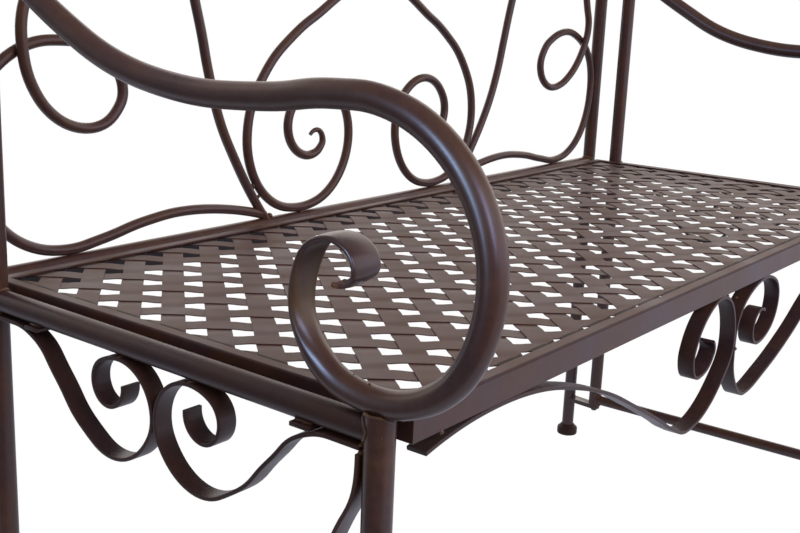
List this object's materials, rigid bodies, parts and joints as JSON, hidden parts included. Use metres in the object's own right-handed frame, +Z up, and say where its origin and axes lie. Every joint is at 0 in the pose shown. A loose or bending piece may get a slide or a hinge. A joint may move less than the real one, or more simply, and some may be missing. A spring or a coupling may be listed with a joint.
{
  "type": "garden bench",
  "caption": "Two-seat metal garden bench with a woven strip seat, scrolled tube arms, a rod-scroll back under an arched rail and curled flat-bar aprons.",
  "frame": {"origin": "centre of the bench at floor level", "axes": "+X along the seat to the sitter's left, +Y to the back, +Z up; the front faces -Y"},
  "size_m": [1.065, 0.5266, 0.872],
  "materials": {
    "bronze_coat": "satin antique-bronze powder coat on steel tube, rod and bar",
    "seat_coat": "satin antique-bronze powder coat on rolled steel strip",
    "bolt_steel": "dark coated bolt heads",
    "foot_rubber": "matt moulded cups"
  },
  "bodies": {
    "root": {"arm_left": "bronze_coat", "arm_right": "bronze_coat", "back_bottom_rail": "bronze_coat", "back_heart_rod_left": "bronze_coat", "back_heart_rod_right": "bronze_coat", "back_lyre_rod_left": "bronze_coat", "back_lyre_rod_right": "bronze_coat", "back_top_rail": "bronze_coat", "back_upright_left": "bronze_coat", "back_upright_right": "bronze_coat", "back_wave_rod_left": "bronze_coat", "back_wave_rod_right": "bronze_coat", "frame_bolts": "bolt_steel", "front_foot_left": "foot_rubber", "front_foot_right": "foot_rubber", "front_leg_left": "bronze_coat", "front_leg_right": "bronze_coat", "front_scroll_left": "bronze_coat", "front_scroll_right": "bronze_coat", "leg_brace_left": "bronze_coat", "leg_brace_right": "bronze_coat", "lower_lug_left": "bronze_coat", "lower_lug_right": "bronze_coat", "lower_stretcher_left": "bronze_coat", "lower_stretcher_right": "bronze_coat", "rear_foot_left": "foot_rubber", "rear_foot_right": "foot_rubber", "rear_post_left": "bronze_coat", "rear_post_right": "bronze_coat", "seat_frame_back": "bronze_coat", "seat_frame_front": "bronze_coat", "seat_frame_left": "bronze_coat", "seat_frame_right": "bronze_coat", "seat_lug_front_left": "bronze_coat", "seat_lug_front_right": "bronze_coat", "seat_lug_rear_left": "bronze_coat", "seat_lug_rear_right": "bronze_coat", "seat_strips_falling": "seat_coat", "seat_strips_rising": "seat_coat", "side_rail_left": "bronze_coat", "side_rail_right": "bronze_coat", "side_scroll_front_left": "bronze_coat", "side_scroll_front_right": "bronze_coat", "side_scroll_rear_left": "bronze_coat", "side_scroll_rear_right": "bronze_coat", "upper_lug_left": "bronze_coat", "upper_lug_right": "bronze_coat"}
  },
  "joints": []
}
